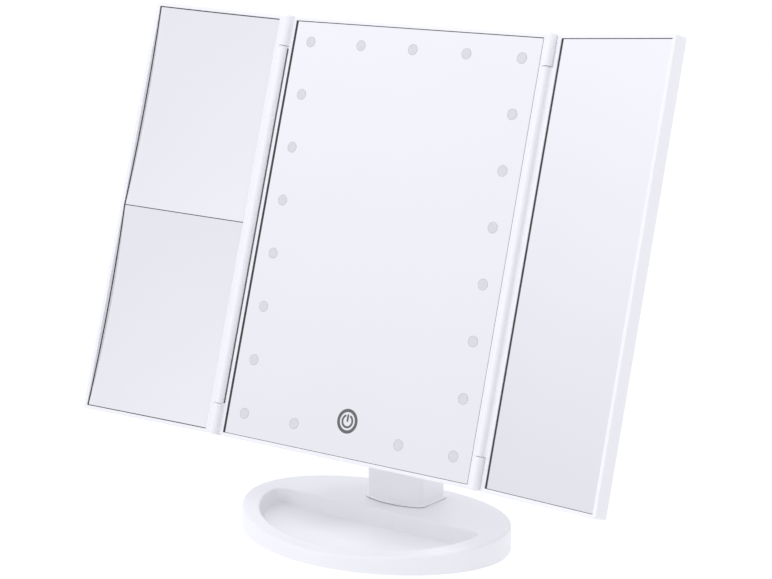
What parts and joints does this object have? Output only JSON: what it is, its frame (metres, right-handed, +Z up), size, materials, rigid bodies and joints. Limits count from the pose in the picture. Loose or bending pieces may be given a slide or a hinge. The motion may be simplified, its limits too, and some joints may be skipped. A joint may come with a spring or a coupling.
{
  "type": "lighted vanity mirror",
  "caption": "Folding lighted vanity mirror: hinged side wings, touch switch, tilting head on a neck, and an oval base with a cosmetics tray.",
  "frame": {"origin": "on the table, under the middle of the base", "axes": "+Z up, +X to the right of someone facing the mirror, +Y to the back; the mirror faces -Y and leans back"},
  "size_m": [0.3428, 0.12, 0.2808],
  "materials": {
    "white_plastic": "smooth moulded ABS, satin to semi-gloss",
    "mirror_glass": "silvered float glass, polished",
    "frosted_plastic": "frosted light diffuser",
    "rubber": "soft anti-slip pad",
    "steel": "zinc-plated steel",
    "contact_metal": "nickel-plated spring steel",
    "white_board": "white solder mask",
    "green_board": "green solder mask",
    "nylon": "natural nylon",
    "black_plastic": "matte black",
    "red_plastic": "wire insulation",
    "cell_jacket": "printed film jacket, plain"
  },
  "bodies": {
    "base": {"base_shell": "white_plastic", "base_plate": "white_plastic", "rubber_foot_1": "rubber", "rubber_foot_2": "rubber", "rubber_foot_3": "rubber", "rubber_foot_4": "rubber", "base_screw_1": "steel", "base_screw_2": "steel", "base_screw_3": "steel", "base_screw_4": "steel", "neck": "white_plastic", "neck_screw_1": "steel", "neck_screw_2": "steel", "tilt_pin": "steel", "friction_washer_left": "nylon", "friction_washer_right": "nylon", "tilt_cap_left": "white_plastic", "tilt_cap_right": "white_plastic"},
    "head": {"centre_frame": "white_plastic", "centre_mirror": "mirror_glass", "rear_cover": "white_plastic", "light_diffuser": "frosted_plastic", "led_board": "white_board", "touch_board": "green_board", "control_board": "green_board", "usb_socket": "steel", "power_switch_body": "black_plastic", "led_lead_red": "red_plastic", "led_lead_black": "black_plastic", "battery_1": "cell_jacket", "battery_2": "cell_jacket", "battery_3": "cell_jacket", "battery_4": "cell_jacket", "contact_spring_1": "contact_metal", "contact_spring_2": "contact_metal", "contact_spring_3": "contact_metal", "contact_spring_4": "contact_metal", "link_plate_lower_left": "contact_metal", "link_plate_lower_right": "contact_metal", "link_plate_upper": "contact_metal", "terminal_plate_positive": "contact_metal", "terminal_plate_negative": "contact_metal", "cover_screw_1": "steel", "cover_screw_2": "steel", "cover_screw_3": "steel", "cover_screw_4": "steel", "wing_pin_left_upper": "steel", "wing_pin_left_lower": "steel", "wing_pin_right_upper": "steel", "wing_pin_right_lower": "steel"},
    "left_wing": {"left_wing_frame": "white_plastic", "left_wing_cover": "white_plastic", "left_upper_mirror": "mirror_glass", "left_lower_mirror": "mirror_glass"},
    "right_wing": {"right_wing_frame": "white_plastic", "right_wing_cover": "white_plastic", "right_mirror": "mirror_glass"},
    "battery_door": {"battery_door": "white_plastic"},
    "switch_knob": {"switch_knob": "black_plastic"}
  },
  "joints": [
    {"name": "head_tilt", "type": "hinge", "parent": "base", "child": "head", "pos_m": [0, -0.00299, 0.05608], "axis": [-1, 0, 0], "range_deg": [-32, 71]},
    {"name": "left_wing_fold", "type": "hinge", "parent": "head", "child": "left_wing", "pos_m": [-0.0861, 0.00249, 0.16172], "axis": [0, 0.295, 0.9555], "range_deg": [-11.13, 168.87]},
    {"name": "right_wing_fold", "type": "hinge", "parent": "head", "child": "right_wing", "pos_m": [0.0861, 0.00249, 0.16172], "axis": [0, -0.295, -0.9555], "range_deg": [-15.77, 164.23]},
    {"name": "battery_door_slide", "type": "slide", "parent": "head", "child": "battery_door", "axis": [0, 0.295, 0.9555], "range_m": [0, 0.056]},
    {"name": "power_switch_slide", "type": "slide", "parent": "head", "child": "switch_knob", "axis": [0, 0.295, 0.9555], "range_m": [0, 0.003]}
  ]
}
